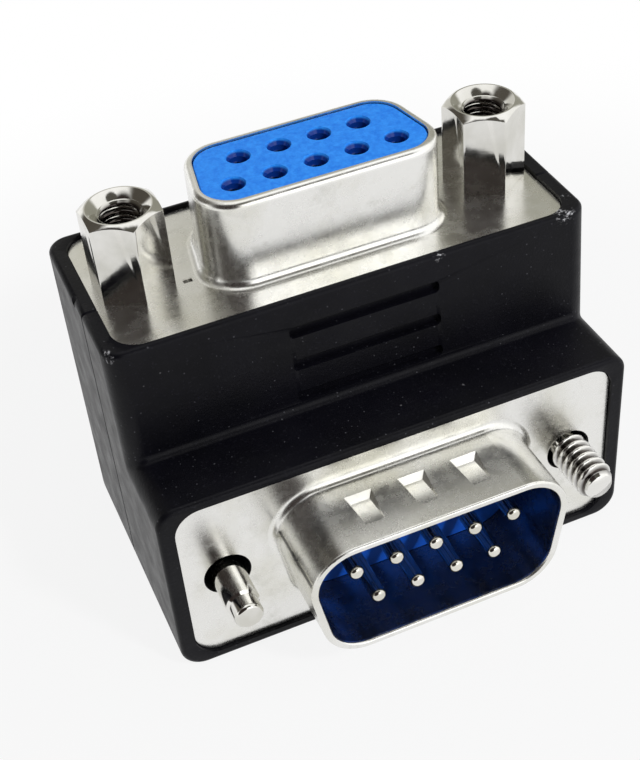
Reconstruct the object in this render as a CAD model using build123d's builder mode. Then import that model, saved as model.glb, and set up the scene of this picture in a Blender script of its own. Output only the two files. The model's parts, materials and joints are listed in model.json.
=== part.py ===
from build123d import *
import os
from math import cos, radians, sin, tan

# A right-angle adapter between two nine-way D-shell connectors. The plug faces the front
# and the socket faces up. Its moulded housing is split in two across its depth, and two
# captive screws run through it from the back to the plug's flange.
#
# Millimetres. +X is to the right, +Z is up and the plug faces -Y. The origin is the centre
# of the adapter's outline, on the surface that it stands on.

# Contact layout, shared by the plug and the socket
contact_pitch = 2.77
row_spacing = 2.84
wide_row_count = 5
narrow_row_count = 4

# D shells
end_slope = 10
shell_corner = 2.6
plug_inside_width = 16.92
plug_inside_height = 8.36
plug_wall = 0.5
plug_depth = 5.9
socket_outside_width = 16.33
socket_outside_height = 7.9
socket_wall = 0.4
socket_depth = 6.1
socket_curl = 0.15
shell_root = 0.6
socket_rim_round = 0.45
plug_rim_round = 0.18

# Flanges
flange_width = 30.81
flange_height = 13.1
flange_corner = 1.8
flange_thickness = 0.5
hole_spacing = 24.99
hole_radius = 1.62

# Rear shells
cup_width = 19.28
cup_height = 10.72
cup_corner = 2.8
cup_wall = 0.4
cup_depth = 4.0
cup_lip = 0.9
cup_edge_round = 0.35

# Grounding dimples in the plug's wide wall. The floor of each slopes in from the mouth.
dimple_count = 3
dimple_pitch = 3.7
dimple_offset = -0.1
dimple_reach = 4.3
dimple_width = 1.25
dimple_length = 2.35
dimple_tilt = 9.7
dimple_taper = 35
dimple_room = 0.6

# Insulators
front_body_depth = 2.1
tail_stand = 0.6
socket_recess = 0.12
mouth_radius = 0.6
countersink_radius = 0.83
countersink_angle = 66
moulding_fit = 0.05
insulator_edge_round = 0.12

# Contacts
pin_radius = 0.51
pin_reach = 5.13
pin_tip_round = 0.35
pin_seat_depth = 0.9
socket_bore_radius = 0.53
socket_barrel_radius = 0.85
socket_mouth_depth = 0.75
socket_bore_depth = 6.8
tail_radius = 0.8
collar_radius = 1.05
collar_length = 0.5
solder_cup_length = 2.5
solder_cup_bore_depth = 2.2
contact_fit = 0.02

# Link wires
wire_radius = 0.4
wire_bend = 1.5
wire_end_gap = 0.05

# Placing of the plug against the socket
plug_setback = 12.25
plug_drop = 15.2

# Housing
side_lip = 1.1
front_lip = 0.475
wall_lean = 0.5
back_lip = 0.5
ledge_lip = 0.6
bottom_lip = 0.75
face_recess = 0.3
plate_fit = 0.05
parting_setback = 2.0
chamber_wall = 1.5
chamber_half_width = 8.0
cup_fit = 0.25
inner_corner = 0.5
bottom_corner = 1.7
ledge_corner = 1.3
upper_corner = 1.3
back_corner = 1.5
rim_round = 0.35
seam_chamfer = 0.12

# Grip grooves in the upper front wall
groove_count = 3
groove_pitch = 2.5
groove_first_drop = 2.35
groove_length = 10.4
groove_height = 0.85
groove_depth = 0.5
groove_offset = 0.3
groove_corner = 0.3

# Locating pegs between the housing halves
peg_radius = 0.8
peg_length = 2.5
peg_fit = 0.05
peg_chamfer = 0.2

# Captive screws
screw_reach = 4.1
screw_radius = 1.35
neck_radius = 0.95
neck_gap = 0.05
neck_depth = 2.4
pilot_radius = 1.13
pilot_step = 0.16
pilot_nose_length = 1.2
screw_tip_round = 0.3
screw_fit = 0.05
head_radius = 2.1
head_length = 2.0
head_clearance = 0.3
head_chamfer = 0.25
head_gap = 0.1
slot_width = 0.7
slot_depth = 0.9
web_thickness = 2.4
clip_room = 3.0
clip_thickness = 0.5
clip_radius = 2.3
clip_clearance = 0.2
clip_gap = 0.1
clip_opening = 1.7
groove_radius = 0.9
groove_play = 0.05

# Hex jacks and the nuts behind the socket's flanges
hex_flats = 4.75
jack_height = 5.87
jack_crown_radius = 2.15
jack_chamfer = 0.4
jack_turns = {"left": 1.5, "right": 4}
jack_bore_radius = 1.4225
jack_bore_depth = 5.0
jack_mouth_radius = 2.05
jack_mouth_depth = 0.46
stud_radius = 1.4
stud_clearance = 0.15
nut_thickness = 2.4
nut_fit = 0.1
nut_web = 1.2
stud_tail = 0.6
nut_chamfer = 0.25

# Marks of use
nick_radius = 0.3
nick_setback = 0.1
pit_length = 0.6
pit_width = 0.35
pit_depth = 0.2
pit_x = -9.35
pit_y = -1.5

# Half the width of the band in which an edge or face counts as lying at a place
near = 0.01

# Places that follow from the sizes above
housing_width = flange_width + 2 * side_lip
back_reach = flange_height / 2 + back_lip
socket_y = (plug_setback + plug_depth - back_reach) / 2
plug_y = socket_y - plug_setback
plug_z = flange_height / 2 + bottom_lip
socket_z = plug_z + plug_drop
front_y = plug_y - face_recess
back_y = socket_y + back_reach
top_z = socket_z + face_recess
ledge_z = plug_z + flange_height / 2 + ledge_lip
upper_front_y = socket_y - flange_height / 2 - front_lip
upper_foot_y = upper_front_y - wall_lean
parting_y = socket_y - parting_setback
flange_stack = 2 * flange_thickness
barrel_top = socket_depth - socket_recess - socket_mouth_depth
tail_face = flange_stack + cup_depth + tail_stand
tail_end = tail_face + solder_cup_length
cup_room = flange_stack + cup_depth + tail_stand + cup_fit
parting_depth = parting_y - plug_y
web_front = parting_depth + clip_room
web_back = web_front + web_thickness
clip_room_radius = clip_radius + clip_clearance
stud_room = flange_stack + nut_web + nut_thickness + 2 * stud_tail
screw_spots = {"left": -hole_spacing / 2, "right": hole_spacing / 2}

# The outer face of each flange. Local Z points out of the connector, and local Y to the
# wide side of its D.
socket_face = Plane(origin=(0, socket_y, socket_z), x_dir=(-1, 0, 0), z_dir=(0, 0, 1))
plug_face = Plane(origin=(0, plug_y, plug_z), x_dir=(1, 0, 0), z_dir=(0, -1, 0))
parting = Plane(origin=(0, parting_y, 0), x_dir=(1, 0, 0), z_dir=(0, -1, 0))

os.makedirs("parts", exist_ok=True)


def hand_over(piece, name):
    """Label a finished piece and write it out."""
    piece.part.label = name
    export_step(piece.part, f"parts/{name}.step")


def d_outline(width, height, corner, grow=0.0):
    """The D of a shell, wide side up, grown by an even margin all round."""
    lean = tan(radians(end_slope))
    half_top = width / 2 + corner * (lean + 1 / cos(radians(end_slope)) - 1)
    half_foot = half_top - height * lean
    with BuildSketch() as outline:
        with BuildLine():
            Polyline(
                (-half_top, height / 2),
                (half_top, height / 2),
                (half_foot, -height / 2),
                (-half_foot, -height / 2),
                close=True,
            )
        make_face()
        fillet(outline.vertices(), corner)
        if grow:
            offset(amount=grow)
    return outline.sketch


def plug_outline(grow=0.0):
    """The inside of the plug's shell."""
    return d_outline(plug_inside_width, plug_inside_height, shell_corner, grow)


def socket_outline(grow=0.0):
    """The outside of the socket's shell."""
    return d_outline(socket_outside_width, socket_outside_height, shell_corner, grow)


def cup_outline(grow=0.0):
    """The outside of a rear shell's cup."""
    return d_outline(cup_width, cup_height, cup_corner, grow)


def contact_spots(side):
    """Places of the contacts by number on a face whose local X runs to this side."""
    wide = [(i - (wide_row_count - 1) / 2, row_spacing / 2) for i in range(wide_row_count)]
    narrow = [(i - (narrow_row_count - 1) / 2, -row_spacing / 2) for i in range(narrow_row_count)]
    return [(side * step * contact_pitch, y) for step, y in wide + narrow]


def outward(face):
    """The axis that points out of a connector's face."""
    return Axis(face.origin, face.z_dir)


def flange(face, depth):
    """A flange blank below a face, with its two screw holes."""
    with BuildPart() as plate:
        with BuildSketch(face.offset(-depth)):
            RectangleRounded(flange_width, flange_height, flange_corner)
            with Locations((-hole_spacing / 2, 0), (hole_spacing / 2, 0)):
                Circle(hole_radius, mode=Mode.SUBTRACT)
        extrude(amount=flange_thickness)
    return plate.part


def turned(face, spot, profile):
    """A turned piece on an axis out of a face, from (radius, height) points."""
    seat = face.from_local_coords(Vector(*spot, 0))
    with BuildPart() as piece:
        with BuildSketch(Plane(origin=seat, x_dir=face.x_dir, z_dir=-face.y_dir)):
            with BuildLine():
                Polyline(*profile, close=True)
            make_face()
        revolve(axis=Axis(seat, face.z_dir))
    return piece.part


# Socket: front shell, drawn with its rim curled in over the insulator
with BuildPart() as socket_shell:
    add(flange(socket_face, flange_thickness))
    with BuildSketch(socket_face):
        add(socket_outline())
    extrude(amount=socket_depth)
    fillet(socket_shell.edges(Select.LAST).group_by(outward(socket_face))[0], shell_root)
    fillet(socket_shell.faces().sort_by(outward(socket_face))[-1].edges(), socket_rim_round)
    with BuildSketch(socket_face.offset(-flange_thickness)):
        add(socket_outline(-socket_wall))
    extrude(amount=flange_thickness + socket_depth - socket_wall, mode=Mode.SUBTRACT)
    with BuildSketch(socket_face.offset(socket_depth)):
        add(socket_outline(-socket_wall - socket_curl))
    extrude(amount=-2 * socket_wall, mode=Mode.SUBTRACT)
    with BuildSketch(socket_face):
        with Locations((-pit_x, -pit_y)):
            Rectangle(pit_length, pit_width)
    extrude(amount=-pit_depth, mode=Mode.SUBTRACT)
hand_over(socket_shell, "socket_shell")

def dimple_presses(wall):
    """Blocks in the form of the dimples, grown by a wall all round."""
    mouth_end = Plane(
        origin=(dimple_offset, plug_y - dimple_reach, plug_z + plug_inside_height / 2 + plug_wall),
        x_dir=(1, 0, 0),
        z_dir=(0, sin(radians(dimple_tilt)), cos(radians(dimple_tilt))),
    )
    spread = wall + 2 * dimple_room * tan(radians(dimple_taper))
    with BuildPart() as blocks:
        with BuildSketch(mouth_end.offset(dimple_room - wall)):
            with Locations((0, dimple_length / 2)):
                with GridLocations(dimple_pitch, 0, dimple_count, 1):
                    Rectangle(dimple_width + spread, dimple_length + spread)
        extrude(amount=-dimple_room, taper=dimple_taper)
    return blocks.part


def inner_dimples():
    """The dimples' metal inside the plug's shell."""
    with BuildPart() as bulges:
        add(dimple_presses(plug_wall))
        with BuildSketch(plug_face):
            add(plug_outline())
        extrude(amount=plug_depth, mode=Mode.INTERSECT)
    return bulges.part


# Plug: front shell, an open D with three dimples pressed into its wide wall
with BuildPart() as plug_shell:
    add(flange(plug_face, flange_thickness))
    with BuildSketch(plug_face):
        add(plug_outline(plug_wall))
    extrude(amount=plug_depth)
    fillet(plug_shell.edges(Select.LAST).group_by(outward(plug_face))[0], shell_root)
    with BuildSketch(plug_face.offset(-flange_thickness)):
        add(plug_outline())
    extrude(amount=flange_thickness + plug_depth, mode=Mode.SUBTRACT)
    fillet(plug_shell.faces().sort_by(outward(plug_face))[-1].edges(), plug_rim_round)
    add(inner_dimples())
    add(dimple_presses(0), mode=Mode.SUBTRACT)
hand_over(plug_shell, "plug_shell")


def rear_shell(face):
    """A rear shell: a flange with a cup drawn backwards, lipped over its insulator."""
    back = face.offset(-flange_stack)
    with BuildPart() as shell:
        add(flange(face, flange_stack))
        with BuildSketch(back):
            add(cup_outline())
        extrude(amount=-cup_depth)
        fillet(shell.faces().sort_by(outward(face))[0].edges(), cup_edge_round)
        with BuildSketch(face.offset(-flange_thickness)):
            add(cup_outline(-cup_wall))
        extrude(amount=-(flange_thickness + cup_depth - cup_wall), mode=Mode.SUBTRACT)
        with BuildSketch(back.offset(-cup_depth)):
            add(cup_outline(-cup_wall - cup_lip))
        extrude(amount=2 * cup_wall, mode=Mode.SUBTRACT)
    return shell


hand_over(rear_shell(socket_face), "socket_rear_shell")
hand_over(rear_shell(plug_face), "plug_rear_shell")


# Socket: front insulator, flush in the shell's rim, with a countersunk mouth at each contact
with BuildPart() as socket_insulator:
    with BuildSketch(socket_face.offset(-flange_thickness)):
        add(cup_outline(-cup_wall - moulding_fit))
    extrude(amount=-front_body_depth)
    with BuildSketch(socket_face.offset(-flange_thickness)):
        add(socket_outline(-socket_wall - moulding_fit))
    extrude(amount=flange_thickness + socket_depth - socket_wall - moulding_fit)
    with BuildSketch(socket_face):
        add(socket_outline(-socket_wall - socket_curl - moulding_fit))
    extrude(amount=socket_depth - socket_recess)
    fillet(socket_insulator.faces().sort_by(outward(socket_face))[-1].edges(), insulator_edge_round)
    with BuildSketch(socket_face.offset(-flange_thickness - front_body_depth)):
        with Locations(*contact_spots(-1)):
            Circle(socket_barrel_radius + contact_fit)
    extrude(amount=barrel_top + flange_thickness + front_body_depth, mode=Mode.SUBTRACT)
    with Locations(socket_face.offset(socket_depth - socket_recess)):
        with Locations(*contact_spots(-1)):
            CounterSinkHole(mouth_radius, countersink_radius, socket_depth, countersink_angle)
hand_over(socket_insulator, "socket_insulator")

# Plug: front insulator, level with the flange inside the shell
with BuildPart() as plug_insulator:
    with BuildSketch(plug_face.offset(-flange_thickness)):
        add(cup_outline(-cup_wall - moulding_fit))
    extrude(amount=-front_body_depth)
    with BuildSketch(plug_face.offset(-flange_thickness)):
        add(plug_outline(-moulding_fit))
    extrude(amount=flange_thickness)
    with BuildSketch(plug_face.offset(-flange_thickness - front_body_depth)):
        with Locations(*contact_spots(1)):
            Circle(tail_radius + contact_fit)
    extrude(amount=flange_thickness + front_body_depth - pin_seat_depth, mode=Mode.SUBTRACT)
    with BuildSketch(plug_face):
        with Locations(*contact_spots(1)):
            Circle(pin_radius + contact_fit)
    extrude(amount=-2 * pin_seat_depth, mode=Mode.SUBTRACT)
hand_over(plug_insulator, "plug_insulator")


def rear_insulator(face, side):
    """A rear insulator: holds the contacts' collars and stands out through the cup's lip."""
    front = face.offset(-flange_thickness - front_body_depth)
    cup_floor = face.offset(-flange_stack - cup_depth + cup_wall)
    with BuildPart() as body:
        with BuildSketch(front):
            add(cup_outline(-cup_wall - moulding_fit))
        extrude(amount=-(flange_stack + cup_depth - cup_wall - flange_thickness - front_body_depth))
        with BuildSketch(cup_floor):
            add(cup_outline(-cup_wall - cup_lip - moulding_fit))
        extrude(amount=-(cup_wall + tail_stand))
        with Locations(front):
            with Locations(*contact_spots(side)):
                CounterBoreHole(tail_radius + contact_fit, collar_radius + contact_fit, collar_length)
    return body


hand_over(rear_insulator(socket_face, -1), "socket_rear_insulator")
hand_over(rear_insulator(plug_face, 1), "plug_rear_insulator")

# Contacts. Each is trapped by its collar between the insulators and ends in a solder cup.
collar_face = flange_thickness + front_body_depth
contact_tail = [
    (collar_radius, -collar_face),
    (collar_radius, -collar_face - collar_length),
    (tail_radius, -collar_face - collar_length),
    (tail_radius, -tail_end),
    (wire_radius + contact_fit, -tail_end),
    (wire_radius + contact_fit, -tail_end + solder_cup_bore_depth),
    (0, -tail_end + solder_cup_bore_depth),
]
socket_contact = [
    (0, barrel_top - socket_bore_depth),
    (socket_bore_radius, barrel_top - socket_bore_depth),
    (socket_bore_radius, barrel_top),
    (socket_barrel_radius, barrel_top),
    (socket_barrel_radius, -collar_face),
]
plug_pin = [
    (0, pin_reach),
    (pin_radius, pin_reach),
    (pin_radius, -pin_seat_depth),
    (tail_radius, -pin_seat_depth),
    (tail_radius, -collar_face),
]
for number, spot in enumerate(contact_spots(-1), start=1):
    with BuildPart() as contact:
        add(turned(socket_face, spot, socket_contact + contact_tail))
    hand_over(contact, f"socket_contact_{number}")
for number, spot in enumerate(contact_spots(1), start=1):
    with BuildPart() as pin:
        add(turned(plug_face, spot, plug_pin + contact_tail))
        fillet(pin.faces().sort_by(outward(plug_face))[-1].edges(), pin_tip_round)
    hand_over(pin, f"plug_pin_{number}")

# Link wires: each runs back from a plug contact, turns up and enters the socket contact of
# the same number, so the wide rows meet in the inner corner and the narrow rows pass outside
wire_start = tail_end - solder_cup_bore_depth + wire_end_gap
for number, (x, rise) in enumerate(contact_spots(1), start=1):
    with BuildPart() as wire:
        with BuildLine() as route:
            FilletPolyline(
                (x, plug_y + wire_start, plug_z + rise),
                (x, socket_y - rise, plug_z + rise),
                (x, socket_y - rise, socket_z - wire_start),
                radius=wire_bend,
            )
        with BuildSketch(Plane(origin=route.line @ 0, z_dir=route.line % 0)):
            Circle(wire_radius)
        sweep(path=route.line)
    hand_over(wire, f"link_wire_{number}")


def face_pocket(face):
    """Room for a connector behind a housing face: flange pocket and cup."""
    with BuildPart() as room:
        with BuildSketch(face.offset(face_recess)):
            RectangleRounded(
                flange_width + 2 * plate_fit, flange_height + 2 * plate_fit, flange_corner
            )
        extrude(amount=-face_recess - flange_stack)
        with BuildSketch(face.offset(-flange_stack)):
            add(cup_outline(cup_fit))
        extrude(amount=flange_stack - cup_room)
    return room.part


# Housing, whole: the stepped block with its rooms, before it is split at the parting
with BuildPart() as housing:
    with BuildSketch(Plane.YZ.offset(-housing_width / 2)):
        with BuildLine():
            Polyline(
                (front_y, 0),
                (front_y, ledge_z),
                (upper_foot_y, ledge_z),
                (upper_front_y, top_z),
                (back_y, top_z),
                (back_y, 0),
                close=True,
            )
        make_face()
    extrude(amount=housing_width)
    side_walls = housing.faces().filter_by(Axis.X).edges()
    fillet(side_walls.filter_by(Axis.Y, reverse=True).group_by(Axis.Y)[1], upper_corner)
    fillet(housing.edges().filter_by(Axis.Z).group_by(Axis.Y)[-1], back_corner)
    fillet(housing.edges().filter_by(Axis.Y).group_by(Axis.Z)[1], ledge_corner)
    fillet(housing.edges().filter_by(Axis.Y).group_by(Axis.Z)[0], bottom_corner)
    ledge_edges = housing.edges().filter_by_position(Axis.Z, ledge_z - near, ledge_z + near)
    fillet(ledge_edges.filter_by(Axis.X).sort_by(Axis.Y)[-1], inner_corner)
    fillet(housing.faces().sort_by(Axis.Z)[-1].edges(), rim_round)
    fillet(housing.faces().sort_by(Axis.Y)[0].edges(), rim_round)

    # Grip grooves
    for number in range(groove_count):
        groove_z = top_z - groove_first_drop - groove_pitch * number
        wall_y = upper_front_y - wall_lean * (top_z - groove_z) / (top_z - ledge_z)
        with BuildSketch(Plane.XZ.offset(-wall_y - groove_depth)):
            with Locations((groove_offset, groove_z)):
                RectangleRounded(groove_length, groove_height, groove_corner)
        extrude(amount=groove_depth + wall_lean, mode=Mode.SUBTRACT)

    # Nick in the left edge of the top
    with BuildSketch(Plane.XY.offset(top_z)):
        with Locations((-housing_width / 2, socket_y - nick_setback)):
            Circle(nick_radius)
    extrude(amount=-2 * nick_radius, mode=Mode.SUBTRACT)

    # Rooms for the connectors, and the stepped chamber that the wires cross
    add(face_pocket(socket_face), mode=Mode.SUBTRACT)
    add(face_pocket(plug_face), mode=Mode.SUBTRACT)
    with BuildSketch(Plane.YZ.offset(-chamber_half_width)):
        with BuildLine():
            Polyline(
                (plug_y + cup_room, chamber_wall),
                (plug_y + cup_room, ledge_z - chamber_wall),
                (upper_front_y + chamber_wall, ledge_z - chamber_wall),
                (upper_front_y + chamber_wall, socket_z - cup_room),
                (back_y - chamber_wall, socket_z - cup_room),
                (back_y - chamber_wall, chamber_wall),
                close=True,
            )
        make_face()
    extrude(amount=2 * chamber_half_width, mode=Mode.SUBTRACT)

    # Stepped bores for the captive screws and their clips
    for x in screw_spots.values():
        add(
            turned(
                plug_face,
                (x, 0),
                [
                    (0, -flange_stack),
                    (hole_radius, -flange_stack),
                    (hole_radius, -parting_depth),
                    (clip_room_radius, -parting_depth),
                    (clip_room_radius, -web_front),
                    (screw_radius + screw_fit, -web_front),
                    (screw_radius + screw_fit, -web_back),
                    (head_radius + head_clearance, -web_back),
                    (head_radius + head_clearance, plug_y - back_y),
                    (0, plug_y - back_y),
                ],
            ),
            mode=Mode.SUBTRACT,
        )

    # Bores for the jacks' studs, with a pocket under each web that keeps the nut from turning
    with BuildSketch(socket_face.offset(-stud_room)):
        with Locations((-hole_spacing / 2, 0), (hole_spacing / 2, 0)):
            Circle(stud_radius + stud_clearance)
    extrude(amount=stud_room, mode=Mode.SUBTRACT)
    with BuildSketch(socket_face.offset(-flange_stack - nut_web)):
        with Locations((-hole_spacing / 2, 0), (hole_spacing / 2, 0)):
            RegularPolygon(hex_flats / 2 + nut_fit, 6, major_radius=False, rotation=90)
    extrude(amount=-nut_thickness - nut_fit, mode=Mode.SUBTRACT)


def half_housing(keep):
    """The part of the housing on one side of the parting, its outer edge eased there."""
    with BuildPart() as half:
        add(housing.part)
        split(bisect_by=parting, keep=keep)
        seam = half.edges().filter_by_position(Axis.Y, parting_y - near, parting_y + near)
        chamfer(seam.sort_by(Axis.Z)[0], seam_chamfer)
    return half


# Housing halves: pegs on the front one enter holes in the rear one
peg_spots = [
    (x, z)
    for x in screw_spots.values()
    for z in ((plug_z - clip_room_radius) / 2, (plug_z + clip_room_radius + socket_z - stud_room) / 2)
]
with BuildPart() as front_housing:
    add(half_housing(Keep.TOP).part)
    with BuildSketch(parting):
        with Locations(*peg_spots):
            Circle(peg_radius)
    extrude(amount=-peg_length)
    chamfer(front_housing.faces().sort_by(Axis.Y)[-1].edges(), peg_chamfer)
hand_over(front_housing, "front_housing")

with BuildPart() as rear_housing:
    add(half_housing(Keep.BOTTOM).part)
    with BuildSketch(parting):
        with Locations(*peg_spots):
            Circle(peg_radius + peg_fit)
    extrude(amount=-peg_length - peg_fit, mode=Mode.SUBTRACT)
hand_over(rear_housing, "rear_housing")

# Captive screws. The left one ends in a smooth stepped pilot, and the right one is threaded.
clip_front = parting_depth + clip_gap
clip_back = clip_front + clip_thickness
head_front = web_back + head_gap
head_end = head_front + head_length
screw_noses = {
    "left": [
        (0, screw_reach),
        (pilot_radius - pilot_step, screw_reach),
        (pilot_radius - pilot_step, screw_reach - pilot_nose_length),
        (pilot_radius, screw_reach - pilot_nose_length - pilot_step),
        (pilot_radius, neck_gap),
    ],
    "right": [(0, screw_reach), (screw_radius, screw_reach), (screw_radius, neck_gap)],
}
screw_shank = [
    (neck_radius, neck_gap),
    (neck_radius, -neck_depth),
    (screw_radius, -neck_depth - screw_radius + neck_radius),
    (screw_radius, groove_play - clip_front),
    (groove_radius, groove_play - clip_front),
    (groove_radius, -clip_back - groove_play),
    (screw_radius, -clip_back - groove_play),
    (screw_radius, -head_front),
    (head_radius, -head_front),
    (head_radius, -head_end + head_chamfer),
    (head_radius - head_chamfer, -head_end),
    (0, -head_end),
]
for side, x in screw_spots.items():
    with BuildPart() as screw:
        add(turned(plug_face, (x, 0), screw_noses[side] + screw_shank))
        fillet(screw.faces().sort_by(outward(plug_face))[-1].edges(), screw_tip_round)
        with BuildSketch(plug_face.offset(-head_end)):
            with Locations((x, 0)):
                Rectangle(slot_width, 2 * head_radius)
        extrude(amount=slot_depth, mode=Mode.SUBTRACT)
    hand_over(screw, f"{side}_captive_screw")

    with BuildPart() as clip:
        with BuildSketch(plug_face.offset(-clip_back)):
            with Locations((x, 0)):
                Circle(clip_radius)
                Circle(groove_radius + screw_fit, mode=Mode.SUBTRACT)
                with Locations((0, -clip_radius / 2)):
                    Rectangle(clip_opening, clip_radius, mode=Mode.SUBTRACT)
        extrude(amount=clip_thickness)
    hand_over(clip, f"{side}_retaining_clip")

# Hex jacks: they clamp the socket's flanges and the housing's web against nuts below
corner_reach = hex_flats / 2 / cos(radians(30))
for side, x in screw_spots.items():
    with BuildPart() as jack:
        with BuildSketch(socket_face):
            with Locations((-x, 0)):
                RegularPolygon(
                    hex_flats / 2, 6, major_radius=False, rotation=90 + jack_turns[side]
                )
        extrude(amount=jack_height)
        add(
            turned(
                socket_face,
                (-x, 0),
                [
                    (0, 0),
                    (corner_reach, 0),
                    (corner_reach, jack_height - jack_chamfer),
                    (jack_crown_radius, jack_height),
                    (0, jack_height),
                ],
            ),
            mode=Mode.INTERSECT,
        )
        with BuildSketch(socket_face):
            with Locations((-x, 0)):
                Circle(stud_radius)
        extrude(amount=stud_tail - stud_room)
        chamfer(jack.faces().sort_by(Axis.Z)[0].edges(), nut_chamfer)
        add(
            turned(
                socket_face,
                (-x, 0),
                [
                    (0, jack_height),
                    (jack_mouth_radius, jack_height),
                    (jack_bore_radius, jack_height - jack_mouth_depth),
                    (jack_bore_radius, jack_height - jack_bore_depth),
                    (0, jack_height - jack_bore_depth),
                ],
            ),
            mode=Mode.SUBTRACT,
        )
    hand_over(jack, f"{side}_hex_jack")

    with BuildPart() as nut:
        with BuildSketch(socket_face.offset(-flange_stack - nut_web)):
            with Locations((-x, 0)):
                RegularPolygon(hex_flats / 2, 6, major_radius=False, rotation=90)
                Circle(jack_bore_radius, mode=Mode.SUBTRACT)
        extrude(amount=-nut_thickness)
    hand_over(nut, f"{side}_jack_nut")
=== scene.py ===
import json
import math

import bmesh
import bpy
from mathutils import Matrix, Vector


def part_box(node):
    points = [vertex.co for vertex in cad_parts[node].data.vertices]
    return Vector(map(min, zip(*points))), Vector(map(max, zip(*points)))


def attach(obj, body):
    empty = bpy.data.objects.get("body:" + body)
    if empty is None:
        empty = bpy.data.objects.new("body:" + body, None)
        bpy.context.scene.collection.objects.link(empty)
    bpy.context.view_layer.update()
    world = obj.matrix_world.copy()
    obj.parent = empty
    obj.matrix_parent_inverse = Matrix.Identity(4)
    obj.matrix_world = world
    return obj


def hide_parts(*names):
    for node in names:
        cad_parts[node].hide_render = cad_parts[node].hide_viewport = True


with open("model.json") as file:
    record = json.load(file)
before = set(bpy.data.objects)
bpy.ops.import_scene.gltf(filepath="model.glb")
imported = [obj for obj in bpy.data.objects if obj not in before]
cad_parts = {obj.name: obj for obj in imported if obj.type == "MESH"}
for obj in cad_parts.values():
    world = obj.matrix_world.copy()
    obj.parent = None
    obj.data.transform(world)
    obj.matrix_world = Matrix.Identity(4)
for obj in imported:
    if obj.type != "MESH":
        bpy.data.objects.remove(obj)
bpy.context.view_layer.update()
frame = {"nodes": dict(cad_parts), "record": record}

mm = 0.001
merge_distance = 1e-7  # in metres, for points that the mesh holds twice
scene = bpy.context.scene

# The photograph's camera: millimetres of the row frame, degrees and pixels
camera_place = (-26.83, -67.94, 75.65)
camera_aim = (-2.60, 0.0, 14.59)
camera_roll = -5.51
focal_pixels = 1432.8
frame_height = 760
sensor_width = 36

# Studio. What the camera sees of the floor is mostly its glow, whose share rises from the
# middle outwards between two distances
white = (1.0, 1.0, 1.0, 1.0)
floor_colour = (0.45, 0.45, 0.46, 1.0)
floor_half_width = 1500
floor_glow = (0.88, 1.0)
floor_fade = (35, 75)

# What metal sees of the room: a bright sky, and zones in it as (towards, full to, gone by,
# colour), with both angles in degrees. They are the far wall, its dim corner, the dim corner
# to the left of it, the dark side that the camera stands on, a bright window before the
# object and the dim ceiling above it
sky_colour = (1.25, 1.25, 1.24, 1.0)
room_zones = [
    ((0.2, 0.84, 0.5), 22, 38, (0.72, 0.71, 0.66, 1.0)),
    ((0.62, 0.65, 0.44), 21, 31, (0.38, 0.375, 0.32, 1.0)),
    ((-0.62, 0.5, 0.6), 22, 38, (0.1, 0.09, 0.075, 1.0)),
    ((-0.55, -0.62, 0.56), 32, 46, (0.03, 0.022, 0.02, 1.0)),
    ((0.27, -0.82, 0.5), 12, 20, (2.0, 2.0, 1.98, 1.0)),
    ((0.18, -0.44, 0.88), 15, 19, (0.1, 0.095, 0.08, 1.0)),
]

# What lights the object besides the lamps: strength low in the sky and overhead, and the
# sines of the elevations between which it rises
ambient_light = (0.04, 0.85)
ambient_rise = (0.4, 0.9)

# Places that the CAD model gives, in millimetres
socket_low, socket_high = (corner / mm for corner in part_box("socket_shell"))
plug_low, plug_high = (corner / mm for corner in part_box("plug_shell"))
screw_low, screw_high = (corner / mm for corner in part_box("right_captive_screw"))
flange_thickness = 0.5
plug_front = plug_high.y - flange_thickness

# Inside of the plug's shell: half its height, half its width at the wide side before its
# corners are rounded, how much its ends lean in, the radius of its corners and the shares of
# it that they take off the diagonal
plug_z = (plug_low.z + plug_high.z) / 2
plug_half_height = 4.18
plug_half_width = 8.96
plug_end_slope = math.tan(math.radians(10))
plug_corner = 2.6
wide_corner_share = 0.77
narrow_corner_share = 0.42

# Painted shade on the plug's inner walls: how far behind the rim it begins, how far into walls
# and corners it counts as inside, and how softly it ends
plug_rim_depth = 0.3
wall_margin = 0.2
corner_margin = 0.25
shade_fade = 0.03

# Contact mouths and jacks, as (x, y) of their upright axes, and where shade is painted in them,
# as (full to, gone by) in radius and in height
socket_y = (socket_low.y + socket_high.y) / 2
contact_pitch = 2.77
half_row_distance = 1.42
jack_x = 12.495
wide_steps = (-2, -1, 0, 1, 2)
narrow_steps = (-1.5, -0.5, 0.5, 1.5)
mouth_axes = [(contact_pitch * step, socket_y - half_row_distance) for step in wide_steps]
mouth_axes += [(contact_pitch * step, socket_y + half_row_distance) for step in narrow_steps]
mouth_radii = (0.86, 0.94)
mouth_heights = (28.3, 28.42)
jack_axes = [(-jack_x, socket_y), (jack_x, socket_y)]
bore_radii = (1.2, 1.44)
bore_heights = (27.75, 27.95)

# Where the plug's insulator begins, from the back, with its deeper blue
plug_blue_depths = (-6.4, -6.6)

# Pale flecks and dirt specks, as (x, y, z, radius)
pale_flecks = [
    (14.8, -1.3, 22.7, 0.8),
    (5.6, -1.4, 22.7, 0.5),
    (-16.3, -1.0, 22.6, 0.6),
    (15.8, 0.4, 22.8, 0.4),
]
dirt_specks = [
    (-3.4, 0.5, 26.4, 0.26),
    (-4.1, 0.7, 22.8, 0.2),
    (-2.6, -0.7, 22.5, 0.1),
    (-9.5, 4.25, 22.2, 0.35),
    (-9.1, 4.25, 22.2, 0.35),
]

# Threads: 4-40 UNC, their flats as shares of half a pitch, sides to a ring and rings to a turn
thread_pitch = 0.635
root_flat = 0.2
crest_flat = 0.2
thread_sides = 56
thread_steps = 12
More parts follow.
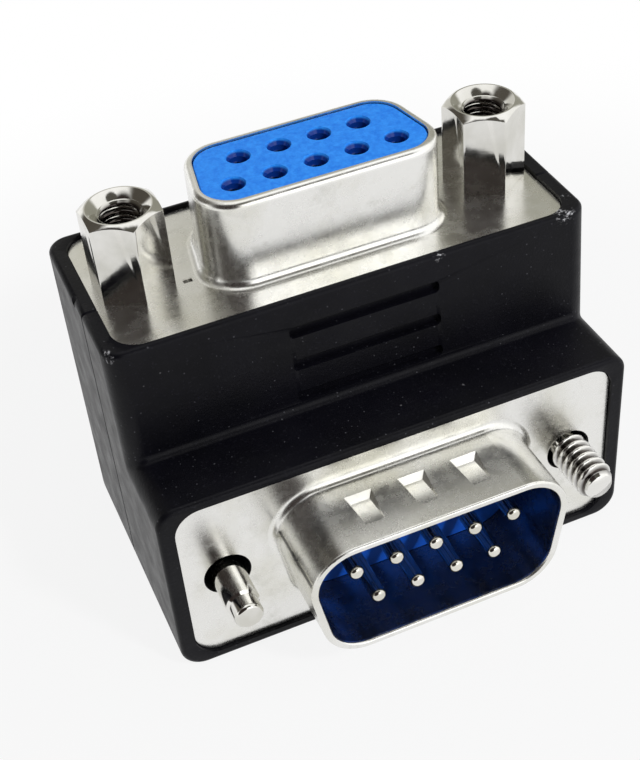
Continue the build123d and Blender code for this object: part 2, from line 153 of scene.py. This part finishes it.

# The right screw's thread: its chamfer starts a little inside the root, its foot lies just
# before the plug's flange, and its painted groove shade as (full to, gone by) in radius and
# (from, full by) in y
screw_thread_radius = 1.35
screw_root_radius = 1.0
screw_tip_chamfer = 0.6
screw_tip_drop = 0.08
screw_thread_foot = plug_front - 0.05
groove_shade_radii = (screw_root_radius + 0.05, screw_thread_radius - 0.03)
groove_shade_depths = (screw_low.y + 0.1, screw_low.y + 0.4)

# The jacks' threads: their top and foot are measured down from a jack's top, their root stands
# a gap inside the bore, and the mouth above them narrows by its slope in radius
jack_root_radius = 1.43
jack_crest_radius = 1.14
jack_root_gap = 0.01
jack_bore_top = 0.46
jack_bore_foot = 5.0
jack_mouth_slope = 1.36


# Materials


def add_node(tree, kind, inputs, properties):
    """A new shader node, with each of the inputs set to a value or linked to a socket."""
    made = tree.nodes.new(kind)
    for key, value in properties.items():
        setattr(made, key, value)
    for socket, value in inputs.items():
        if isinstance(value, bpy.types.NodeSocket):
            tree.links.new(value, made.inputs[socket])
        else:
            made.inputs[socket].default_value = value
    return made


class Recipe:
    """A Principled material whose textures are measured in millimetres of the row frame."""

    def __init__(self, name, **sockets):
        self.material = bpy.data.materials.new(name)
        self.material.use_nodes = True
        self.tree = self.material.node_tree
        self.shader = self.tree.nodes["Principled BSDF"]
        for socket, value in sockets.items():
            self.shader.inputs[socket.replace("_", " ")].default_value = value
        metres = self.node("ShaderNodeTexCoord").outputs["Object"]
        self.place = self.vector("SCALE", metres, scale=1 / mm)

    def node(self, kind, inputs=None, **properties):
        return add_node(self.tree, kind, inputs or {}, properties)

    def vector(self, operation, first, second=None, scale=None):
        inputs = {0: first}
        if second is not None:
            inputs[1] = second
        if scale is not None:
            inputs["Scale"] = scale
        made = self.node("ShaderNodeVectorMath", inputs, operation=operation)
        return made.outputs["Value" if operation in ("DISTANCE", "LENGTH") else "Vector"]

    def math(self, operation, first, second):
        return self.node("ShaderNodeMath", {0: first, 1: second}, operation=operation).outputs[0]

    def axis(self, name):
        """One coordinate of the surface point, in millimetres."""
        return self.node("ShaderNodeSeparateXYZ", {0: self.place}).outputs[name]

    def noise(self, per_mm, detail, roughness=0.5, stretch=(1, 1, 1), offset=(0, 0, 0)):
        """Smooth noise with this many cells per millimetre."""
        place = self.vector("MULTIPLY", self.place, stretch)
        place = self.vector("ADD", place, offset)
        inputs = {"Vector": place, "Scale": per_mm, "Detail": detail, "Roughness": roughness}
        return self.node("ShaderNodeTexNoise", inputs).outputs["Fac"]

    def specks(self, per_mm, radius, share):
        """Sparse round specks: 1 in a speck and 0 outside."""
        inputs = {"Vector": self.place, "Scale": per_mm}
        cells = self.node("ShaderNodeTexVoronoi", inputs)
        chosen = self.node("ShaderNodeSeparateColor", {0: cells.outputs["Color"]}).outputs[0]
        size = self.math("MULTIPLY", self.span(chosen, 1 - share, 1.0), radius)
        near = self.math("SUBTRACT", size, cells.outputs["Distance"])
        return self.span(near, 0, radius / 3)

    def span(self, value, low, high, to_low=0.0, to_high=1.0, smooth=False):
        """Maps low..high onto to_low..to_high and clamps."""
        inputs = {0: value, 1: low, 2: high, 3: to_low, 4: to_high}
        kind = "SMOOTHSTEP" if smooth else "LINEAR"
        return self.node("ShaderNodeMapRange", inputs, interpolation_type=kind).outputs[0]

    def mix(self, share, first, second):
        """A colour between two colours."""
        inputs = {0: share, 6: first, 7: second}
        return self.node("ShaderNodeMix", inputs, data_type="RGBA").outputs[2]

    def spots(self, places):
        """1 near any of the (x, y, z, radius) places, in millimetres, and 0 elsewhere."""
        soft = 0.4
        total = 0.0
        for *centre, radius in places:
            far = self.vector("DISTANCE", self.place, centre)
            total = self.math("MAXIMUM", self.span(far, radius, radius * (1 - soft)), total)
        return total

    def near_axes(self, axes, inner, outer):
        """1 within inner of any upright axis at (x, y), 0 beyond outer, in millimetres."""
        flat = self.vector("MULTIPLY", self.place, (1, 1, 0))
        total = 0.0
        for x, y in axes:
            far = self.vector("DISTANCE", flat, (x, y, 0))
            total = self.math("MAXIMUM", self.span(far, inner, outer, 1, 0), total)
        return total

    def bump(self, height, distance, strength, under=None):
        """A normal from a height texture, its relief in millimetres."""
        inputs = {"Height": height, "Distance": distance * mm, "Strength": strength}
        if under is not None:
            inputs["Normal"] = under
        return self.node("ShaderNodeBump", inputs).outputs["Normal"]

    def wear(self, **sockets):
        """Links textures to the shader's sockets and returns the material."""
        for socket, value in sockets.items():
            self.tree.links.new(value, self.shader.inputs[socket.replace("_", " ")])
        return self.material


def black_plastic():
    """Moulded plastic with a fine grain texture and bright grains, painted glints as sparse
    bright specks, dust and pale flecks.
    """
    r = Recipe("black_plastic", IOR=1.24)
    deep, plain = (0.0016, 0.0016, 0.0028, 1), (0.003, 0.0029, 0.005, 1)
    grain_tip, glint_colour = (0.05, 0.05, 0.065, 1), (0.3, 0.3, 0.34, 1)
    pale_dust, fleck_colour = (0.4, 0.4, 0.42, 1), (0.45, 0.45, 0.47, 1)
    patches = r.noise(0.25, detail=3)
    colour = r.mix(r.span(patches, 0.35, 0.7), deep, plain)
    grain = r.noise(5.5, detail=3, roughness=0.6)
    colour = r.mix(r.span(grain, 0.6, 0.85, 0, 0.3), colour, grain_tip)
    # Painted glints: sparse bright specks that stand in for sparkle
    glint_specks = r.specks(3.2, 0.22, 0.4)
    colour = r.mix(r.math("MULTIPLY", glint_specks, 0.16), colour, glint_colour)
    dust = r.specks(0.9, 0.085, 0.14)
    colour = r.mix(r.math("MULTIPLY", dust, 0.2), colour, pale_dust)
    fleck_noise = r.noise(4.5, detail=4, roughness=0.75, stretch=(0.6, 1, 1))
    flecked = r.math("MULTIPLY", r.spots(pale_flecks), r.span(fleck_noise, 0.54, 0.64))
    colour = r.mix(flecked, colour, fleck_colour)
    roughness = r.span(r.noise(0.6, detail=4), 0.3, 0.7, 0.33, 0.46)
    normal = r.bump(grain, 0.03, 0.5)
    normal = r.bump(r.noise(1.1, detail=2), 0.03, 0.4, under=normal)
    return r.wear(Base_Color=colour, Roughness=roughness, Normal=normal)


def inside_plug(r):
    """1 on the inner walls of the plug's shell, where shade is painted, and 0 elsewhere."""
    out = r.math("ABSOLUTE", r.axis("X"), 0)
    deep = r.axis("Y")
    up = r.math("SUBTRACT", r.axis("Z"), plug_z)
    lean = r.math("MULTIPLY", r.math("SUBTRACT", plug_half_height, up), plug_end_slope)
    half_sum = plug_half_width + plug_half_height
    wide_corner = half_sum - wide_corner_share * plug_corner
    narrow_corner = half_sum - 2 * plug_half_height * plug_end_slope
    narrow_corner -= narrow_corner_share * plug_corner
    unbounded = 99
    limits = [
        (deep, plug_low.y + plug_rim_depth, plug_high.y),
        (up, -plug_half_height - wall_margin, plug_half_height - wall_margin),
        (r.math("ADD", out, lean), -unbounded, plug_half_width + wall_margin),
        (r.math("ADD", out, up), -unbounded, wide_corner + corner_margin),
        (r.math("SUBTRACT", out, up), -unbounded, narrow_corner + corner_margin),
    ]
    inside = 1.0
    for value, low, high in limits:
        inside = r.math("MULTIPLY", inside, r.span(value, low - shade_fade, low))
        inside = r.math("MULTIPLY", inside, r.span(value, high, high + shade_fade, 1, 0))
    return inside


def nickel_shell():
    """Nickel-plated drawn steel: bright, a little wavy, with tarnish, stains, dirt specks and
    painted shade inside the plug.
    """
    r = Recipe("nickel_shell", Metallic=1.0)
    pale, warm, dull = (0.84, 0.835, 0.81, 1), (0.74, 0.73, 0.665, 1), (0.5, 0.495, 0.44, 1)
    grime, painted_cavity_shade = (0.1, 0.09, 0.075, 1), (0.1, 0.1, 0.11, 1)
    colour = r.mix(r.span(r.noise(0.16, detail=4, roughness=0.6), 0.45, 0.7), pale, warm)
    stains = r.span(r.noise(0.5, detail=5, roughness=0.65, offset=(7, 3, 1)), 0.56, 0.72)
    colour = r.mix(r.math("MULTIPLY", stains, 0.35), colour, dull)
    dirt = r.math("MAXIMUM", r.specks(0.7, 0.06, 0.1), r.spots(dirt_specks))
    colour = r.mix(r.math("MULTIPLY", dirt, 0.7), colour, grime)
    # Painted shade: the plug's inner walls are darkened where little light reaches them
    colour = r.mix(r.math("MULTIPLY", inside_plug(r), 0.8), colour, painted_cavity_shade)
    satin = r.noise(0.9, detail=5, roughness=0.7)
    roughness = r.span(satin, 0.3, 0.7, 0.2, 0.32)
    normal = r.bump(r.noise(0.22, detail=2, offset=(3, 0, 5)), 0.06, 0.25)
    normal = r.bump(r.noise(1.6, detail=3, roughness=0.6), 0.006, 0.3, under=normal)
    return r.wear(Base_Color=colour, Roughness=roughness, Normal=normal)


def bright_nickel(name, light, dark, roughness_low, roughness_high, shaded_bores=()):
    """Bright nickel plate on turned steel, wavy with turning, with painted shade in the bores."""
    r = Recipe(name, Metallic=1.0)
    colour = r.mix(r.span(r.noise(0.4, detail=3), 0.35, 0.65), light, dark)
    if shaded_bores:
        below_mouth = r.span(r.axis("Z"), *bore_heights, 1, 0)
        bore = r.math("MULTIPLY", r.near_axes(shaded_bores, *bore_radii), below_mouth)
        # Painted shade: the bores darken below their mouths
        colour = r.mix(bore, colour, (0.07, 0.06, 0.055, 1))
    roughness = r.span(r.noise(1.2, detail=4), 0.3, 0.7, roughness_low, roughness_high)
    normal = r.bump(r.noise(2.5, detail=3), 0.008, 0.3)
    return r.wear(Base_Color=colour, Roughness=roughness, Normal=normal)


def threaded_steel():
    """The right screw's thread: bright crests, and grooves darkened with painted shade."""
    r = Recipe("screw_thread", Metallic=1.0)
    bright, groove_shade = (0.8, 0.79, 0.76, 1), (0.06, 0.05, 0.045, 1)
    axis = ((screw_low.x + screw_high.x) / 2, 0, (screw_low.z + screw_high.z) / 2)
    across = r.vector("DISTANCE", r.vector("MULTIPLY", r.place, (1, 0, 1)), axis)
    groove = r.span(across, *groove_shade_radii, 1, 0)
    behind_tip = r.span(r.axis("Y"), *groove_shade_depths)
    # Painted shade in the thread's grooves, from a little behind the tip
    colour = r.mix(r.math("MULTIPLY", groove, behind_tip), bright, groove_shade)
    roughness = r.span(r.noise(2.0, detail=3), 0.3, 0.7, 0.08, 0.16)
    return r.wear(Base_Color=colour, Roughness=roughness)


def blue_plastic():
    """Blue filled plastic, mottled, with painted shade in its contact mouths, and deeper blue in
    the plug.
    """
    r = Recipe("blue_insulator", IOR=1.33)
    blue, pale_blue = (0.008, 0.18, 0.74, 1), (0.03, 0.29, 0.9, 1)
    mouth_shade_blue, plug_blue = (0.003, 0.03, 0.22, 1), (0.008, 0.1, 0.6, 1)
    mottle = r.noise(3.0, detail=4, roughness=0.65)
    colour = r.mix(r.span(mottle, 0.35, 0.7), blue, pale_blue)
    below_face = r.span(r.axis("Z"), *mouth_heights, 1, 0)
    mouths = r.math("MULTIPLY", r.near_axes(mouth_axes, *mouth_radii), below_face)
    # Painted shade: the contact mouths are darkened below the face
    colour = r.mix(mouths, colour, mouth_shade_blue)
    colour = r.mix(r.span(r.axis("Y"), *plug_blue_depths), colour, plug_blue)
    roughness = r.span(mottle, 0.3, 0.7, 0.3, 0.42)
    roughness = r.span(mouths, 0, 1, roughness, 0.1)
    normal = r.bump(r.noise(4.0, detail=3), 0.012, 0.4)
    return r.wear(Base_Color=colour, Roughness=roughness, Normal=normal)


def plain_metal(name, light, dark, roughness_low, roughness_high):
    """A plain metal for what the housing mostly hides."""
    r = Recipe(name, Metallic=1.0)
    colour = r.mix(r.noise(0.8, detail=3), light, dark)
    roughness = r.span(r.noise(2.0, detail=3), 0.3, 0.7, roughness_low, roughness_high)
    return r.wear(Base_Color=colour, Roughness=roughness)


materials = {
    "black_plastic": black_plastic(),
    "nickel_shell": nickel_shell(),
    "blue_insulator": blue_plastic(),
    "nickel_jack": bright_nickel(
        "nickel_jack", (0.74, 0.73, 0.7, 1), (0.62, 0.61, 0.565, 1), 0.07, 0.14, shaded_bores=jack_axes
    ),
    "screw_steel": bright_nickel(
        "screw_steel", (0.78, 0.77, 0.74, 1), (0.64, 0.63, 0.58, 1), 0.06, 0.12
    ),
    "clip_steel": plain_metal(
        "clip_steel", (0.45, 0.45, 0.47, 1), (0.35, 0.35, 0.36, 1), 0.3, 0.42
    ),
    "plated_contact": bright_nickel(
        "plated_contact", (0.8, 0.78, 0.72, 1), (0.66, 0.64, 0.57, 1), 0.07, 0.12
    ),
    "tinned_wire": plain_metal(
        "tinned_wire", (0.8, 0.79, 0.76, 1), (0.66, 0.65, 0.62, 1), 0.25, 0.4
    ),
}


def paint(piece, slot):
    """Gives the piece its slot's material."""
    piece.data.materials.clear()
    piece.data.materials.append(materials[slot])


# CAD nodes: their own finish, and on some of them eased edges


# Millimetres of an eased edge, and the degrees that it has to turn by
edge_widths = {
    "front_housing": 0.08,
    "rear_housing": 0.08,
    "left_hex_jack": 0.07,
    "right_hex_jack": 0.07,
}
edge_angle = 32


def ease_edges(piece, width):
    """Rounds the piece's sharp edges a little, as moulding or turning leaves them."""
    weld = piece.modifiers.new("weld", "WELD")
    weld.merge_threshold = merge_distance
    bevel = piece.modifiers.new("eased", "BEVEL")
    bevel.width = width * mm
    bevel.segments = 2
    bevel.limit_method = "ANGLE"
    bevel.angle_limit = math.radians(edge_angle)
    flat = piece.modifiers.new("flat", "WEIGHTED_NORMAL")
    flat.weight = 100


slots = {part["node"]: part["material_slot"] for part in frame["record"]["subparts"]}
for name, node in frame["nodes"].items():
    paint(node, slots[name])
    if name in edge_widths:
        ease_edges(node, edge_widths[name])


# Threads


def piece_from(name, build, body, slot):
    """A new piece from a bmesh, in the row frame's metres."""
    mesh = bpy.data.meshes.new(name)
    build.to_mesh(mesh)
    build.free()
    piece = bpy.data.objects.new(name, mesh)
    scene.collection.objects.link(piece)
    for face in mesh.polygons:
        face.use_smooth = True
    paint(piece, slot)
    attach(piece, body)
    return piece


def thread_height(turns):
    """Height of a worn 60-degree thread, 0 at the root and 1 at the crest, at this many turns."""
    phase = turns % 1.0
    flank = min(phase, 1.0 - phase) * 2
    return min(1.0, max(0.0, (flank - root_flat) / (1.0 - root_flat - crest_flat)))


def ring(build, centre, across, up, radii):
    """One ring of vertices round a centre, with its own radius at each side."""
    made = []
    for side, radius in enumerate(radii):
        angle = 2 * math.pi * side / len(radii)
        spoke = across * math.cos(angle) + up * math.sin(angle)
        made.append(build.verts.new((centre + spoke * radius) * mm))
    return made


def bridge(build, first, second):
    """Quads between two rings."""
    for side in range(len(first)):
        following = (side + 1) % len(first)
        build.faces.new((first[side], first[following], second[following], second[side]))


def threaded_nose():
    """The right screw's end, threaded to its chamfered tip, in place of the plain cylinder."""
    axis_x = (screw_low.x + screw_high.x) / 2
    axis_z = (screw_low.z + screw_high.z) / 2
    tip = screw_low.y
    depth = screw_thread_radius - screw_root_radius
    build = bmesh.new()
    rows = round((screw_thread_foot - tip) / thread_pitch * thread_steps)
    rings = []
    for row in range(rows + 1):
        y = tip + (screw_thread_foot - tip) * row / rows
        lead_in = screw_root_radius - screw_tip_drop + (y - tip) * depth / screw_tip_chamfer
        radii = []
        for side in range(thread_sides):
            height = thread_height((y - tip) / thread_pitch + side / thread_sides)
            radii.append(min(screw_root_radius + depth * height, lead_in))
        centre = Vector((axis_x, y, axis_z))
        rings.append(ring(build, centre, Vector((1, 0, 0)), Vector((0, 0, 1)), radii))
    for first, second in zip(rings, rings[1:]):
        bridge(build, first, second)
    build.faces.new(reversed(rings[0]))
    build.faces.new(rings[-1])
    bmesh.ops.recalc_face_normals(build, faces=build.faces)
    return build


def rear_of_screw():
    """The right screw behind its thread, from the CAD node's own mesh."""
    build = bmesh.new()
    build.from_mesh(frame["nodes"]["right_captive_screw"].data)
    bmesh.ops.remove_doubles(build, verts=build.verts, dist=merge_distance)
    bmesh.ops.bisect_plane(
        build,
        geom=[*build.verts, *build.edges, *build.faces],
        plane_co=(0, screw_thread_foot * mm, 0),
        plane_no=(0, -1, 0),
        clear_outer=True,
    )
    bmesh.ops.holes_fill(build, edges=[e for e in build.edges if e.is_boundary])
    return build


rear = piece_from("right_captive_screw_body", rear_of_screw(), "right_screw", "screw_steel")
nose = piece_from("right_captive_screw_thread", threaded_nose(), "right_screw", "screw_steel")
nose.data.materials[0] = threaded_steel()
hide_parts("right_captive_screw")


def jack_thread(side):
    """The thread inside a jack: a ridge that winds down its bore, below the conical mouth."""
    low, high = (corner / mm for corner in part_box(f"{side}_hex_jack"))
    axis_x = (low.x + high.x) / 2
    axis_y = (low.y + high.y) / 2
    bore_top = high.z - jack_bore_top
    bore_foot = high.z - jack_bore_foot
    wide = jack_root_radius - jack_root_gap
    rows = round((bore_top - bore_foot) / thread_pitch * thread_steps)
    build = bmesh.new()
    inner, outer = [], []
    for row in range(rows + 1):
        z = bore_top - (bore_top - bore_foot) * row / rows
        cone = jack_root_radius - (bore_top - z) * jack_mouth_slope
        radii = []
        for step in range(thread_sides):
            height = thread_height((bore_top - z) / thread_pitch + step / thread_sides)
            radius = wide - (jack_root_radius - jack_crest_radius) * height
            radii.append(max(radius, cone) if z < bore_top else wide)
        centre = Vector((axis_x, axis_y, z))
        across, up = Vector((1, 0, 0)), Vector((0, 1, 0))
        inner.append(ring(build, centre, across, up, radii))
        outer.append(ring(build, centre, across, up, [jack_root_radius] * thread_sides))
    for first, second in zip(inner, inner[1:]):
        bridge(build, first, second)
    for first, second in zip(outer, outer[1:]):
        bridge(build, second, first)
    bridge(build, outer[0], inner[0])
    bridge(build, inner[-1], outer[-1])
    bmesh.ops.recalc_face_normals(build, faces=build.faces)
    return build


for side in ("left", "right"):
    piece_from(f"{side}_jack_bore_thread", jack_thread(side), "adapter", "nickel_jack")


# Studio: floor, world, lamps and camera


def build_floor():
    """A pale floor that keeps the object's shadow and fades to white away from it."""
    build = bmesh.new()
    bmesh.ops.create_grid(build, x_segments=1, y_segments=1, size=floor_half_width * mm)
    mesh = bpy.data.meshes.new("floor")
    build.to_mesh(mesh)
    build.free()
    floor = bpy.data.objects.new("floor", mesh)
    scene.collection.objects.link(floor)
    r = Recipe("floor", Base_Color=floor_colour, Roughness=0.8, Specular_IOR_Level=0.1)
    glow = r.node("ShaderNodeEmission", {"Color": white, "Strength": 1.0})
    share = r.span(r.vector("LENGTH", r.place), *floor_fade, *floor_glow, smooth=True)
    light_path = r.node("ShaderNodeLightPath").outputs
    seen = r.math("MAXIMUM", light_path["Is Camera Ray"], light_path["Is Glossy Ray"])
    seen = r.math("MAXIMUM", seen, light_path["Is Transmission Ray"])
    share = r.math("MULTIPLY", share, seen)
    blend = r.node(
        "ShaderNodeMixShader", {0: share, 1: r.shader.outputs[0], 2: glow.outputs[0]}
    )
    output = r.tree.nodes["Material Output"]
    r.tree.links.new(blend.outputs[0], output.inputs["Surface"])
    mesh.materials.append(r.material)


def build_world():
    """White to the camera, soft light from above, and for metal a room with darker sides."""
    world = bpy.data.worlds.new("studio")
    scene.world = world
    world.use_nodes = True
    tree = world.node_tree

    def node(kind, inputs, **properties):
        return add_node(tree, kind, inputs, properties)

    def mix(share, first, second):
        return node("ShaderNodeMix", {0: share, 6: first, 7: second}, data_type="RGBA").outputs[2]

    direction = node("ShaderNodeTexCoord", {}).outputs["Generated"]
    mirrored = sky_colour
    for towards, full, gone, colour in room_zones:
        inputs = {0: direction, 1: Vector(towards).normalized()}
        facing = node("ShaderNodeVectorMath", inputs, operation="DOT_PRODUCT").outputs["Value"]
        inputs = {0: facing, 1: math.cos(math.radians(gone)), 2: math.cos(math.radians(full))}
        share = node("ShaderNodeMapRange", inputs, interpolation_type="SMOOTHSTEP").outputs[0]
        mirrored = mix(share, mirrored, colour)
    height = node("ShaderNodeSeparateXYZ", {0: direction}).outputs["Z"]
    inputs = dict(enumerate((height, *ambient_rise, *ambient_light)))
    ambient = node("ShaderNodeMapRange", inputs, interpolation_type="SMOOTHSTEP").outputs[0]
    ambient = node("ShaderNodeCombineColor", {0: ambient, 1: ambient, 2: ambient}).outputs[0]
    path = node("ShaderNodeLightPath", {}).outputs
    colour = mix(path["Is Diffuse Ray"], white, ambient)
    colour = mix(path["Is Glossy Ray"], colour, mirrored)
    tree.links.new(colour, tree.nodes["Background"].inputs["Color"])


def lamp(name, place, aim, size, power):
    """A square softbox, in millimetres. It lights, and metal mirrors the room without it."""
    data = bpy.data.lights.new(name, "AREA")
    data.size = size * mm
    data.energy = power
    made = bpy.data.objects.new(name, data)
    scene.collection.objects.link(made)
    made.visible_glossy = False
    made.location = Vector(place) * mm
    made.rotation_euler = (Vector(aim) - Vector(place)).to_track_quat("-Z", "Y").to_euler()


def build_camera():
    """The photograph's camera."""
    data = bpy.data.cameras.new("camera")
    data.sensor_width = sensor_width
    data.lens = focal_pixels / frame_height * sensor_width
    data.clip_start = 1 * mm
    data.clip_end = 5000 * mm
    camera = bpy.data.objects.new("camera", data)
    scene.collection.objects.link(camera)
    camera.location = Vector(camera_place) * mm
    look = (Vector(camera_aim) - Vector(camera_place)).to_track_quat("-Z", "Y").to_matrix()
    roll = Matrix.Rotation(math.radians(camera_roll), 3, "Z")
    camera.rotation_euler = (look @ roll).to_euler()
    scene.camera = camera


build_floor()
build_world()
lamp("key", place=(104, -204, 216), aim=(0, 0, 10), size=34, power=0.66)
lamp("fill", place=(170, -60, 260), aim=(0, 0, 12), size=130, power=0.06)
build_camera()
scene.view_settings.view_transform = "Standard"
